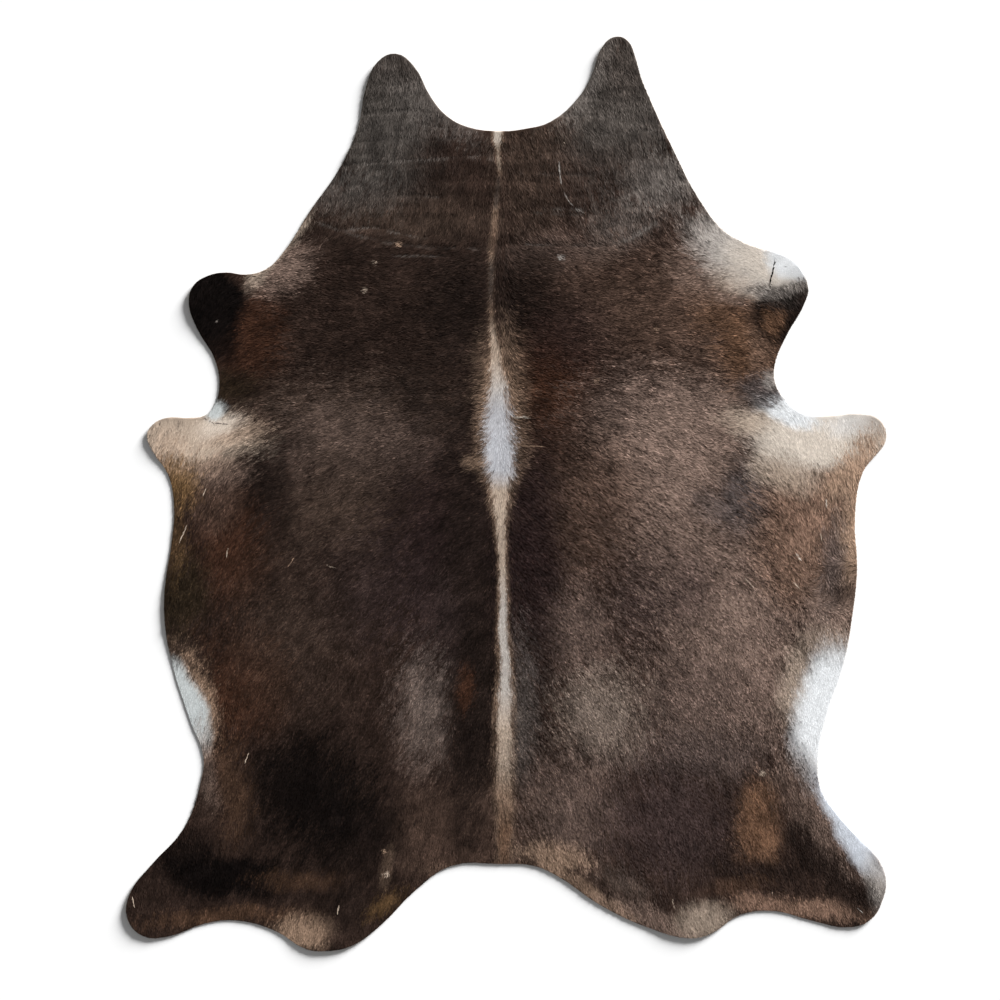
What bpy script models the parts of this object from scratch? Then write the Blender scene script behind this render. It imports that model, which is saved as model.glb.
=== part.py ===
"""A whole cowhide laid flat on the floor as a rug, hair side up.

One piece of tanned skin with its short hair on. +Y runs to the neck, and +X to the right hand of someone
who stands at the tail and looks at the neck. Z = 0 is the floor, and the origin is the middle of the
outline's box.
"""

import math

import bmesh
import bpy

# Overall size of the hide, in metres.
LENGTH = 2.25
WIDTH = 1.87

# Thickness of the skin and its flattened hair, in metres.
BACK_THICKNESS = 0.0070
NECK_EXTRA = 0.0012
RIM_THINNER = 0.0020
BACK_SHARE = 0.45
RIM_ROUNDING = 0.0030
RIM_STEPS = 2

# The outline, as points of a smooth closed curve: x from the box's middle and y from its middle, in metres.
# It starts in the notch between the two neck points and runs down the left side.
OUTLINE = (
    ("neck notch, left half", (-0.012, 0.893), (-0.095, 0.903), (-0.147, 0.930), (-0.187, 0.977)),
    ("left neck point", (-0.230, 1.054), (-0.273, 1.083), (-0.317, 1.064), (-0.346, 1.003)),
    ("left side of the neck", (-0.366, 0.903), (-0.411, 0.802), (-0.485, 0.696), (-0.549, 0.596)),
    ("left front lobe", (-0.593, 0.553), (-0.643, 0.540), (-0.692, 0.545), (-0.736, 0.537), (-0.773, 0.511),
     (-0.783, 0.469), (-0.764, 0.409), (-0.717, 0.325)),
    ("left notch", (-0.709, 0.256), (-0.722, 0.216), (-0.745, 0.193), (-0.785, 0.187)),
    ("left second lobe", (-0.839, 0.187), (-0.873, 0.170), (-0.886, 0.143), (-0.873, 0.106)),
    ("left belly", (-0.835, 0.049), (-0.820, -0.034), (-0.824, -0.104), (-0.843, -0.236), (-0.842, -0.325),
     (-0.824, -0.421), (-0.779, -0.561), (-0.747, -0.650)),
    ("left shank", (-0.753, -0.704), (-0.795, -0.822), (-0.876, -0.913)),
    ("left hind leg", (-0.929, -0.984), (-0.935, -1.044), (-0.896, -1.088), (-0.839, -1.090),
     (-0.742, -1.057)),
    ("left rump lobe", (-0.667, -1.050), (-0.569, -1.076), (-0.494, -1.120), (-0.446, -1.125),
     (-0.382, -1.112), (-0.310, -1.061)),
    ("tail edge", (-0.224, -0.975), (-0.138, -0.916), (-0.015, -0.911), (0.065, -0.915), (0.121, -0.938)),
    ("right rump lobe", (0.231, -1.012), (0.354, -1.069), (0.453, -1.093), (0.502, -1.083)),
    ("right rump hollow", (0.576, -1.036), (0.662, -1.027), (0.748, -1.049)),
    ("right hind leg", (0.852, -1.066), (0.901, -1.044), (0.926, -1.000), (0.935, -0.955), (0.921, -0.908)),
    ("right shank", (0.897, -0.876), (0.849, -0.827), (0.807, -0.778), (0.778, -0.736), (0.766, -0.670),
     (0.785, -0.556)),
    ("right belly", (0.830, -0.421), (0.854, -0.286), (0.864, -0.187), (0.859, -0.052), (0.879, 0.055)),
    ("right second lobe", (0.905, 0.090), (0.931, 0.123), (0.934, 0.155), (0.917, 0.184), (0.872, 0.197),
     (0.785, 0.192), (0.736, 0.197)),
    ("right notch", (0.699, 0.219), (0.665, 0.263), (0.660, 0.313), (0.687, 0.384)),
    ("right front lobe", (0.738, 0.478), (0.743, 0.507), (0.711, 0.571), (0.662, 0.596), (0.613, 0.608)),
    ("right side of the neck", (0.541, 0.643), (0.475, 0.724), (0.411, 0.847), (0.354, 0.970)),
    ("right neck point", (0.330, 1.028), (0.317, 1.075), (0.299, 1.114), (0.273, 1.125), (0.243, 1.110),
     (0.207, 1.024), (0.182, 0.982)),
    ("neck notch, right half", (0.108, 0.916), (0.047, 0.899)),
)
OUTLINE_STEPS = 4

# Where the rim lifts a little off the floor: x, y, reach and height of the lift, in metres.
LIFTS = (
    ("left neck point", -0.29, 1.10, 0.20, 0.007),
    ("right neck point", 0.28, 1.15, 0.20, 0.008),
    ("left front lobe", -0.80, 0.50, 0.17, 0.008),
    ("left second lobe", -0.91, 0.15, 0.15, 0.007),
    ("left belly", -0.87, -0.28, 0.14, 0.005),
    ("left hind leg", -0.97, -1.05, 0.22, 0.008),
    ("left rump lobe", -0.44, -1.16, 0.18, 0.006),
    ("right rump lobe", 0.45, -1.13, 0.17, 0.006),
    ("right hind leg", 0.97, -1.02, 0.21, 0.008),
    ("right belly", 0.89, -0.30, 0.13, 0.005),
    ("right second lobe", 0.96, 0.16, 0.15, 0.007),
    ("right front lobe", 0.76, 0.52, 0.15, 0.006),
)

# Soft creases across the neck: y where each one crosses the spine, its bow towards the rump at BOW_AT from
# the spine, its half width and its depth, in metres. Over CREASE_FADE it fades out, and ends at CREASE_REACH.
BOW_AT = 0.50
CREASES = (
    ("upper crease", 0.855, 0.10, 0.016, 0.0012),
    ("middle crease", 0.775, 0.07, 0.018, 0.0014),
    ("lower crease", 0.690, 0.05, 0.016, 0.0011),
    ("shoulder crease", 0.612, -0.02, 0.018, 0.0013),
)
CREASE_REACH = 0.42
CREASE_FADE = 0.28

# The grid of faces that the relief is drawn on, in metres.
CELL = 0.050
UNDER_CELL = 0.100
NECK_ROW = 0.018
NECK_ROWS_FROM = 0.56
NECK_ROWS_TO = 0.90

# Working tolerances: welding the curve's caps, snapping a cut to a corner, what counts as flat or sharp.
WELD = 0.00001
CUT_SNAP = 0.0003
FLAT = 0.999
SHARP_DEGREES = 40

HAIR_COLOUR = (0.050, 0.036, 0.029, 1.0)
HAIR_ROUGHNESS = 0.6


def clear_scene():
    for obj in list(bpy.data.objects):
        bpy.data.objects.remove(obj, do_unlink=True)


def new_collection(name):
    collection = bpy.data.collections.new(name)
    bpy.context.scene.collection.children.link(collection)
    return collection


def hide_material():
    material = bpy.data.materials.new("dark_hair")
    material.use_nodes = True
    shader = material.node_tree.nodes["Principled BSDF"]
    shader.inputs["Base Color"].default_value = HAIR_COLOUR
    shader.inputs["Roughness"].default_value = HAIR_ROUGHNESS
    shader.inputs["Metallic"].default_value = 0.0
    return material


def outline_slab(collection):
    """The outline as a slab: a filled curve, extruded to the back's thickness and made a mesh."""
    points = [point for _, *stretch in OUTLINE for point in stretch]
    curve = bpy.data.curves.new("outline", "CURVE")
    curve.dimensions = "2D"
    curve.fill_mode = "BOTH"
    curve.resolution_u = OUTLINE_STEPS
    curve.extrude = BACK_THICKNESS / 2
    spline = curve.splines.new("BEZIER")
    spline.bezier_points.add(len(points) - 1)
    spline.use_cyclic_u = True
    for knot, (x, y) in zip(spline.bezier_points, points):
        knot.co = (x, y, 0)
        knot.handle_left_type = knot.handle_right_type = "AUTO"
    guide = bpy.data.objects.new("outline_guide", curve)
    collection.objects.link(guide)
    graph = bpy.context.evaluated_depsgraph_get()
    mesh = bpy.data.meshes.new_from_object(guide.evaluated_get(graph))
    bpy.data.objects.remove(guide)
    hide = bpy.data.objects.new("hide", mesh)
    collection.objects.link(hide)
    return hide


def close_slab(bm):
    """Welds the curve's caps to its wall, makes each cap one face, and rounds the upper rim."""
    bmesh.ops.remove_doubles(bm, verts=bm.verts, dist=WELD)
    bmesh.ops.translate(bm, verts=bm.verts, vec=(0, 0, BACK_THICKNESS / 2))
    bmesh.ops.recalc_face_normals(bm, faces=bm.faces)
    caps = [edge for edge in bm.edges if all(abs(face.normal.z) > FLAT for face in edge.link_faces)]
    bmesh.ops.dissolve_edges(bm, edges=caps, use_verts=False)
    fit_to_size(bm)
    rim = max(bm.faces, key=lambda face: face.calc_center_median().z).edges
    bmesh.ops.bevel(bm, geom=list(rim), offset=RIM_ROUNDING, offset_type="OFFSET", affect="EDGES",
                    segments=RIM_STEPS, profile=0.5, material=-1)


def fit_to_size(bm):
    """Scales and centres the slab, so that its outline measures WIDTH by LENGTH about the origin."""
    for axis, size in enumerate((WIDTH, LENGTH)):
        low = min(vert.co[axis] for vert in bm.verts)
        high = max(vert.co[axis] for vert in bm.verts)
        for vert in bm.verts:
            vert.co[axis] = (vert.co[axis] - (low + high) / 2) * size / (high - low)


def spaced(start, end, step):
    """Even places from start to end, at most a step apart, both ends left out."""
    count = math.ceil((end - start) / step)
    return [start + (end - start) * i / count for i in range(1, count)]


def cut_side(bm, side, columns, rows):
    """Cuts the flat upper side (side 1) or the underside (side -1) along columns and rows."""
    lines = [((x, 0, 0), (1, 0, 0)) for x in columns] + [((0, y, 0), (0, 1, 0)) for y in rows]
    for place, direction in lines:
        faces = [face for face in bm.faces if side * face.normal.z > FLAT]
        edges = {edge for face in faces for edge in face.edges}
        verts = {vert for face in faces for vert in face.verts}
        bmesh.ops.bisect_plane(bm, geom=[*verts, *edges, *faces], dist=CUT_SNAP,
                               plane_co=place, plane_no=direction)


def draw_grid(bm):
    """Draws the grid that the relief moves: fine on the hair side and finest across the neck."""
    half_width, half_length = WIDTH / 2, LENGTH / 2
    rows = spaced(-half_length, NECK_ROWS_FROM, CELL)
    rows += [NECK_ROWS_FROM, *spaced(NECK_ROWS_FROM, NECK_ROWS_TO, NECK_ROW), NECK_ROWS_TO]
    rows += spaced(NECK_ROWS_TO, half_length, CELL)
    under_rows = spaced(-half_length, half_length, UNDER_CELL)
    cut_side(bm, 1, spaced(-half_width, half_width, CELL), rows)
    cut_side(bm, -1, spaced(-half_width, half_width, UNDER_CELL), under_rows)
    bmesh.ops.remove_doubles(bm, verts=bm.verts, dist=CUT_SNAP)


def eased(t):
    t = min(max(t, 0.0), 1.0)
    return t * t * (3 - 2 * t)


def lift_at(x, y):
    """How far the underside stands off the floor."""
    return max(height * eased(1 - math.hypot(x - cx, y - cy) / reach) for _, cx, cy, reach, height in LIFTS)


def crease_at(x, y):
    """How deep the creases press the top down."""
    fade = eased((CREASE_REACH - abs(x)) / CREASE_FADE)
    return sum(
        depth * fade * eased(1 - abs(y - (at - bow * (x / BOW_AT) ** 2)) / half)
        for _, at, bow, half, depth in CREASES
    )


def thickness_at(x, y):
    """Skin and hair together: thick on the back and the neck, thinner towards the belly and the legs."""
    aside = eased((abs(x) / (WIDTH / 2) - BACK_SHARE) / (1 - BACK_SHARE))
    neck = eased((y - NECK_ROWS_FROM) / (NECK_ROWS_TO - NECK_ROWS_FROM))
    return BACK_THICKNESS - RIM_THINNER * aside + NECK_EXTRA * neck - crease_at(x, y)


def raise_relief(bm):
    for vert in bm.verts:
        x, y, z = vert.co
        vert.co.z = lift_at(x, y) + z / BACK_THICKNESS * thickness_at(x, y)


def build_hide():
    parts = new_collection("cowhide_rug")
    hide = outline_slab(parts)
    bm = bmesh.new()
    bm.from_mesh(hide.data)
    close_slab(bm)
    draw_grid(bm)
    raise_relief(bm)
    bmesh.ops.recalc_face_normals(bm, faces=bm.faces)
    bm.to_mesh(hide.data)
    bm.free()
    hide.data.materials.append(hide_material())
    hide.data.shade_smooth()
    hide.data.set_sharp_from_angle(angle=math.radians(SHARP_DEGREES))
    return hide


clear_scene()
build_hide()
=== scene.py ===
# %% [markdown]
# # A cowhide rug
# A cowhide rug is one whole hide, tanned with its short hair left on, and laid on the floor hair side up.
# The construction comes packed from another script: one flat solid with the hide's outline, its thickness
# and the slight lift of its tips. This lesson dresses that solid: a sheet of skin cut to the same outline,
# several hundred thousand flat locks of hair that lie along the real nap, and the markings of the coat.
# Everything is in metres. +Y runs to the neck, +X to the right, and Z = 0 is the floor.

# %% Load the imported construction
import math

import bmesh
import bpy
import numpy as np
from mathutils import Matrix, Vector
from mathutils.bvhtree import BVHTree


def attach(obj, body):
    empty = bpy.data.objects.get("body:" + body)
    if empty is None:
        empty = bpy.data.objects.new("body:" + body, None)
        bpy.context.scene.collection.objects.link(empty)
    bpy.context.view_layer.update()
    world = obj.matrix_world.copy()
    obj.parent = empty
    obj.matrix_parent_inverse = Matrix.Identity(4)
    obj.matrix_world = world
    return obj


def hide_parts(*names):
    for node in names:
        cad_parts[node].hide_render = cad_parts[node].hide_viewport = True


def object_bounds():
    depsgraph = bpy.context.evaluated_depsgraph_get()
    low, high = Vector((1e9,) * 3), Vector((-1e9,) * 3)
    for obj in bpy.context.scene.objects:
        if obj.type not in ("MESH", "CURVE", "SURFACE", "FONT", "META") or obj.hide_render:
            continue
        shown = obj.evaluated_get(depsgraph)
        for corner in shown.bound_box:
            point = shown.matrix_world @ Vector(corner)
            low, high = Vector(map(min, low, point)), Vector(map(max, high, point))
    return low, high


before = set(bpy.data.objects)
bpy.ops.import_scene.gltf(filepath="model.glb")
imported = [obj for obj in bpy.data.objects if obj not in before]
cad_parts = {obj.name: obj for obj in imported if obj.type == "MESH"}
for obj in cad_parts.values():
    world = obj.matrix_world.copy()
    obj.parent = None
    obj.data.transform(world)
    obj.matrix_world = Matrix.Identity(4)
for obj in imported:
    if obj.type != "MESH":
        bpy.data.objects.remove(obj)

CM = 0.01
cad_low, cad_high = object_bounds()
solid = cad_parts["hide"]
print("the packed solid measures", [round(x, 4) for x in cad_high - cad_low])

# %% [markdown]
# ## The sheet of skin
# Under the hair a hide is a sheet of leather, about half as thick as hair and skin together. It could be
# drawn again from an outline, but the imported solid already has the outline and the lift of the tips. So the
# sheet is a copy of that solid, and its upper side is let down to leave room for the hair. The solid's
# triangles are long and thin, and colours that are kept at their corners would smear over half the rug. So
# the flat ones are melted together and cut again into even cells, finer over the neck, where wrinkles are
# pressed in, and at the spine. The underside is cut the same way, but coarser, so that it shades evenly.

# %% Helpers: easing, smooth random hills over the floor plan, and the way to a line
CLOUD_KNOTS = 509


def eased(t):
    t = np.clip(t, 0.0, 1.0)
    return t * t * (3 - 2 * t)


def cloud(at, cell, seed):
    """Smooth random hills from -1 to 1 over the points at, with hills one cell apart."""
    knots = np.random.default_rng(seed).uniform(-1, 1, (CLOUD_KNOTS, CLOUD_KNOTS))
    low = np.floor(at / cell).astype(int)
    fx, fy = eased(at / cell - low).T
    x, y = low.T % CLOUD_KNOTS
    x_next, y_next = (x + 1) % CLOUD_KNOTS, (y + 1) % CLOUD_KNOTS
    near = knots[x, y] * (1 - fx) + knots[x_next, y] * fx
    far = knots[x, y_next] * (1 - fx) + knots[x_next, y_next] * fx
    return near * (1 - fy) + far * fy


def along_line(at, points):
    """The distance of each point from a line through the given points, and the line's direction there."""
    points = np.array(points) * CM
    best = np.full(len(at), np.inf)
    heading = np.zeros((len(at), 2))
    for start, end in zip(points[:-1], points[1:]):
        run = end - start
        share = np.clip((at - start) @ run / (run @ run), 0, 1)
        gap = np.linalg.norm(at - start - share[:, None] * run, axis=1)
        nearer = gap < best
        best[nearer] = gap[nearer]
        heading[nearer] = run / np.linalg.norm(run)
    return best, heading


# %% Cut a copy of the solid into even cells
WELD = 0.00001
SAME_PLANE = math.radians(0.3)
# How far up or down a face has to look to belong to that side, and not to the rim.
FACING = 0.2
CELL, NECK_CELL, SPINE_CELL, BACK_CELL = 0.011, 0.006, 0.004, 0.05
NECK_CELLS_FROM = 0.56
SPINE_CELLS = (-0.05, 0.02)


def facing(bm, way):
    """The faces that look up, where way is 1, or down, where it is -1."""
    return [face for face in bm.faces if way * face.normal.z > FACING]


def cut_across(bm, faces, lines, axis):
    """Cuts the faces along every line across one axis: the middle line first, and then each half."""
    if not lines or not faces:
        return
    half = len(lines) // 2
    place, normal = Vector((0, 0, 0)), Vector((0, 0, 0))
    place[axis], normal[axis] = lines[half], 1
    parts = {part for face in faces for part in (face, *face.edges, *face.verts)}
    cut = bmesh.ops.bisect_plane(bm, geom=list(parts), plane_co=place, plane_no=normal)["geom"]
    low, high = [], []
    for face in cut:
        if isinstance(face, bmesh.types.BMFace):
            side = low if face.calc_center_median()[axis] < lines[half] else high
            side.append(face)
    cut_across(bm, low, lines[:half], axis)
    cut_across(bm, high, lines[half + 1:], axis)


def steps(*stretches):
    """Places for cuts: each stretch is a start, an end and a step."""
    return [place for stretch in stretches for place in np.arange(*stretch).tolist()]


skin_mesh = solid.data.copy()
skin_mesh.name = "hide_skin"
skin_mesh.materials.clear()
skin_bm = bmesh.new()
skin_bm.from_mesh(skin_mesh)
bmesh.ops.remove_doubles(skin_bm, verts=skin_bm.verts, dist=WELD)
from_left = steps(
    (cad_low.x, SPINE_CELLS[0], CELL),
    (*SPINE_CELLS, SPINE_CELL),
    (SPINE_CELLS[1], cad_high.x, CELL),
)
from_tail = steps((cad_low.y, NECK_CELLS_FROM, CELL), (NECK_CELLS_FROM, cad_high.y, NECK_CELL))
back_from_left = steps((cad_low.x, cad_high.x, BACK_CELL))
back_from_tail = steps((cad_low.y, cad_high.y, BACK_CELL))
for way, x_lines, y_lines in ((1, from_left, from_tail), (-1, back_from_left, back_from_tail)):
    one_side = set(facing(skin_bm, way))
    inner = [edge for edge in skin_bm.edges if one_side.issuperset(edge.link_faces)]
    bmesh.ops.dissolve_limit(skin_bm, angle_limit=SAME_PLANE, verts=[], edges=inner)
    cut_across(skin_bm, facing(skin_bm, way), x_lines, 0)
    cut_across(skin_bm, facing(skin_bm, way), y_lines, 1)
bmesh.ops.triangulate(skin_bm, faces=skin_bm.faces)
bmesh.ops.recalc_face_normals(skin_bm, faces=skin_bm.faces)
print("the skin has", len(skin_bm.faces), "faces")

# %% Let the upper side down, and press the wrinkles in
SKIN_SHARE = 0.62
WAVE_HEIGHT = 0.0005
WAVE_CELL = 0.16
WRINKLE_DEPTH = 0.0012

# Wrinkles across the neck. Each row: a name, the half width, how pale the hair is on the crest, and places
# along the wrinkle. All in centimetres.
WRINKLES = (
    ("left point, upper", 0.50, 0.6, (-35, 93.8), (-28, 94.6), (-21.2, 95)),
    ("left point, lower", 0.40, 0.5, (-22.6, 91.8), (-18, 90.8), (-14.5, 90.5)),
    ("left, long one", 0.50, 0.8, (-34.5, 81.8), (-23, 82.6), (-12, 83.2), (-4.5, 83.6)),
    ("left, second long one", 0.40, 0.4, (-36, 87), (-26, 88.2), (-16, 87.6), (-8, 88.5)),
    ("left, short one", 0.45, 0.4, (-30, 73.5), (-22, 74.2), (-15, 73.4)),
    ("left, low one", 0.50, 0.7, (-40.9, 65.5), (-32, 66.2), (-24, 64), (-19, 63.6)),
    ("left, lowest", 0.40, 0.4, (-27, 58.8), (-20, 58.9), (-13.2, 58.6)),
    ("left border", 0.60, 0.35, (-45.5, 67.2), (-38, 64.5), (-30, 62.5), (-20, 61.2), (-10, 60.6),
     (-4, 60.3)),
    ("right point, upper", 0.50, 0.7, (14.3, 93.4), (21, 93.7), (28, 92.9)),
    ("right point, middle", 0.40, 0.4, (16, 97), (22, 97.8), (29, 97)),
    ("right point, lower", 0.45, 0.6, (23.4, 88.9), (29, 89.4), (36.4, 89.9)),
    ("right, beside the spine", 0.45, 0.6, (3.7, 79.7), (12, 79.2), (20.9, 79.1)),
    ("right, middle one", 0.50, 0.8, (9.1, 70.6), (14, 70.9), (19.5, 70.6)),
    ("right, second middle one", 0.40, 0.5, (2, 70.2), (10, 69.6), (20, 69.2), (29, 69.8)),
    ("right, slanting one", 0.90, 1.0, (26.1, 61.8), (31, 64), (36.4, 67.2)),
    ("right, upper slanting one", 0.50, 0.6, (24, 72), (30, 74), (35, 77)),
    ("right border", 0.60, 0.35, (1, 61.8), (12, 61.5), (23, 61.2), (30, 62.8), (37, 67)),
)


def wrinkle_depth(at):
    """How deep the wrinkles press each point down, as a share of the full depth."""
    deepest = np.zeros(len(at))
    for _, half_width, _, *line in WRINKLES:
        gap, _ = along_line(at, line)
        deepest = np.maximum(deepest, eased(1 - gap / (2 * half_width * CM)))
    return deepest


RIM_HEIGHT = 0.002
NEARLY_FLAT = 0.5
SHARP_FROM = math.radians(35)

under_bm = skin_bm.copy()
not_under = [face for face in under_bm.faces if face.normal.z > -NEARLY_FLAT]
bmesh.ops.delete(under_bm, geom=not_under, context="FACES")
underside = BVHTree.FromBMesh(under_bm)
under_bm.free()

plan = np.array([vert.co.xy[:] for vert in skin_bm.verts])
waves = WAVE_HEIGHT * cloud(plan, WAVE_CELL, seed=11)
pressed = WRINKLE_DEPTH * wrinkle_depth(plan)
for vert, wave, press in zip(skin_bm.verts, waves, pressed):
    floor_z = underside.find_nearest(vert.co)[0].z
    height = vert.co.z - floor_z
    upper = min(height / RIM_HEIGHT, 1.0)
    vert.co.z = floor_z + SKIN_SHARE * height + upper * (wave - press)

skin_bm.to_mesh(skin_mesh)
hide = bpy.data.objects.new("hide_skin", skin_mesh)
bpy.context.scene.collection.objects.link(hide)
skin_mesh.shade_smooth()
skin_mesh.set_sharp_from_angle(angle=SHARP_FROM)
skin_top = BVHTree.FromBMesh(skin_bm)
top_area = sum(face.calc_area() for face in skin_bm.faces if face.normal.z > NEARLY_FLAT)
print("the hair side covers", round(top_area, 3), "square metres")

# %% [markdown]
# ## The nap
# Hair on a hide lies in a fixed direction at each place, which a tanner calls the nap. Along the back it
# runs to the tail. From the shoulders it turns outwards, almost level, and then bends down over the flanks
# and the thighs. On the neck it runs down to the shoulders, and it meets the level hair in a visible
# border. On the right flank it turns round a small whorl. The nap is one function of the place, so that
# locks, streaks and the ragged borders between two colours all follow it.

# %% The nap as a direction at each place
# How far the nap turns outwards from the tailward direction, in degrees, at places down the hide.
NAP_ROWS = ((-1.10, 20), (-0.70, 26), (-0.40, 38), (-0.10, 55), (0.12, 72), (0.30, 84), (0.52, 88),
            (0.60, 70), (0.66, 22), (0.90, 12), (1.12, 10))
SPINE_X = -0.012
PARTING = 0.05
BELLY_FROM, BELLY_TO, BELLY_TOP = 0.55, 0.80, 0.62
BELLY_TURN = 18
WHORL = np.array((0.812, -0.225))
WHORL_SIZE = 0.055
WHORL_TURN = 200
# Slow and quick sways of the nap: degrees, the size of a hill, and a seed.
NAP_SWAYS = ((9, 0.11, 21), (7, 0.03, 22))


def nap(at):
    """The direction in which the hair lies at each point, as unit vectors over the floor plan."""
    x, y = at.T
    levels, turns = np.array(NAP_ROWS).T
    turn = np.interp(y, levels, turns) * eased(np.abs(x - SPINE_X) / PARTING)
    belly = eased((np.abs(x) - BELLY_FROM) / (BELLY_TO - BELLY_FROM)) * (y < BELLY_TOP)
    turn = turn + belly * (BELLY_TURN - turn)
    for degrees, cell, seed in NAP_SWAYS:
        turn = turn + degrees * cloud(at, cell, seed)
    swirl = np.exp(-(((at - WHORL) / WHORL_SIZE) ** 2).sum(1))
    turn = np.radians(turn + WHORL_TURN * swirl)
    side = np.where(x > SPINE_X, 1.0, -1.0)
    return np.stack([side * np.sin(turn), -np.cos(turn)], 1)


def streaks(at, cell, steps, seed):
    """Random streaks from -1 to 1 that run with the nap: hills averaged along the hair's own line."""
    total = cloud(at, cell, seed)
    for way in (-1, 1):
        place = at
        for _ in range(steps):
            place = place + way * cell * nap(place)
            total = total + cloud(place, cell, seed)
    return np.clip(total / math.sqrt(2 * steps + 1), -1, 1)


print("on the right flank the hair points", nap(np.array([[0.4, 0.0]])).round(2)[0].tolist())


# %% [markdown]
# ## The markings
# The coat is dark brown, nearly black on the shoulders and the hips, greyer on the neck and the right
# flank, rusty beside the legs, and cream or white where the belly hair starts. A pale line runs down the
# spine. The patches named sheen are painted sheen: paler hair where the nap catches the light, painted into
# the colour. Such markings could be shader nodes, but a hundred soft patches in a shader are slow, and each
# lock of hair needs one colour from its root to its tip. So the patches stand in short tables, a function
# paints them one over the other at any points it is given, and the locks and the skin carry the result as an
# attribute that their materials read. The border of a patch is ragged along the nap, because hairs of one
# colour lie over the other.

# %% The coat's colours
def hair_colour(code):
    """A colour written as six hex digits, as the linear numbers that Blender reckons with."""
    shown = np.array([int(code[i:i + 2], 16) for i in (0, 2, 4)]) / 255
    return np.where(shown > 0.04045, ((shown + 0.055) / 1.055) ** 2.4, shown / 12.92)


COAT = {name: hair_colour(code) for name, code in (
    ("black", "0d0908"),
    ("near black", "1b1411"),
    ("plum black", "221818"),
    ("dark brown", "2c211c"),
    ("plum brown", "362b29"),
    ("red brown", "3a2419"),
    ("warm brown", "4e3d34"),
    ("umber", "44372f"),
    ("olive brown", "251d14"),
    ("charcoal", "443f3b"),
    ("slate", "49413f"),
    ("ash", "6a635e"),
    ("grey brown", "5a4b44"),
    ("light grey brown", "6e6158"),
    ("light brown", "78655b"),
    ("tan brown", "745c4e"),
    ("rust", "5b4333"),
    ("golden brown", "6b5236"),
    ("tan", "937a67"),
    ("beige", "ab9a8a"),
    ("cream", "c2b7ab"),
    ("silver", "a39c96"),
    ("grey white", "a8acac"),
    ("blue white", "b9bec6"),
    ("white", "d0d2d4"),
)}
GROUND = "dark brown"
print(len(COAT), "colours of hair over a ground of", GROUND)

# %% The broad patches of the neck
# Each row: a name, the middle (x, y), the half width and half height before turning, the turn in degrees,
# the width of the border as a share of the half sizes, the colour, and how fully it covers. In centimetres.
PATCHES = [
    ("left neck", -30, 94.5, 15.5, 22, 0, 1.0, "charcoal", 0.95),
    ("left neck by the spine", -11, 81, 9.5, 15, 0, 1.2, "dark brown", 0.80),
    ("left neck, low", -23.5, 68, 18.5, 5.5, 0, 1.4, "umber", 0.70),
    ("right neck", 27, 97, 15.5, 22, 0, 1.0, "charcoal", 0.86),
    ("right neck by the spine", 7, 81, 8, 15, 0, 1.4, "umber", 0.60),
    ("left shoulder sheen", -38, 74.5, 9, 5, 0, 1.6, "ash", 0.35),
    ("right shoulder sheen", 38.5, 77, 8, 6, 0, 1.4, "ash", 0.80),
    ("right shoulder sheen, upper", 33, 92, 6.5, 7.5, 0, 1.5, "ash", 0.10),
    ("left neck border", -26, 57, 22, 5, 0, 1.4, "dark brown", 0.60),
    ("left neck, inner edge", -19, 96, 12.5, 4, -35, 1.3, "ash", 0.45),
    ("left neck, middle", -29, 91.5, 9.5, 4.5, 0, 1.5, "ash", 0.25),
    ("right neck, inner edge", 19.5, 100.5, 3.5, 9, -30, 1.3, "ash", 0.65),
    ("right neck, middle", 22.5, 78, 11, 6.5, 0, 1.4, "dark brown", 0.50),
    ("right neck, tip", 28.5, 105, 5, 6.5, 0, 1.3, "dark brown", 0.25),
    ("left neck, tip", -28, 105.5, 6.5, 4, 0, 1.3, "dark brown", 0.25),
    ("right neck border, dark", 29.5, 62.5, 7.5, 4.5, 0, 1.4, "dark brown", 0.40),
    ("right withers", 10.5, 60, 11, 5, 0, 1.3, "grey brown", 0.50),
    ("right border, grey", 28.5, 66, 8.5, 6, 25, 1.4, "ash", 0.35),
]

# %% The patches of the shoulders
PATCHES += [
    ("left saddle", -11, 48, 9.5, 15.5, 0, 1.2, "near black", 0.75),
    ("right saddle", 4.5, 46.5, 6.5, 12.5, 0, 1.2, "near black", 0.85),
    ("right saddle, lower", 12.5, 26, 9.5, 13.5, 0, 1.4, "red brown", 0.80),
    ("right shoulder", 26, 48.5, 13, 12.5, 0, 1.5, "warm brown", 0.62),
    ("right withers, low", 16, 40, 10, 8.5, 0, 1.5, "plum black", 0.55),
    ("right shoulder, outer", 44, 44, 12, 16.5, 0, 1.4, "warm brown", 0.90),
    ("right shoulder, outer rust", 51.5, 45, 5.5, 6.5, 0, 1.4, "rust", 0.60),
    ("left inner front", -63.5, 38.5, 7.5, 12, 0, 1.2, "red brown", 0.80),
    ("left shoulder blade", -38.5, 20, 24.5, 8, 3, 1.3, "umber", 0.90),
    ("left shoulder blade, light", -38, 13.5, 19.5, 10.5, 0, 1.5, "grey brown", 0.75),
    ("left blade, dark end", -21, 23.5, 7, 6.5, 0, 1.4, "near black", 0.70),
    ("right shoulder blade", 37.5, 19.5, 18, 9.5, 0, 1.4, "grey brown", 0.88),
    ("right blade, light", 46, 16.5, 15.5, 9.5, 0, 1.4, "light brown", 0.84),
]

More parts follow.
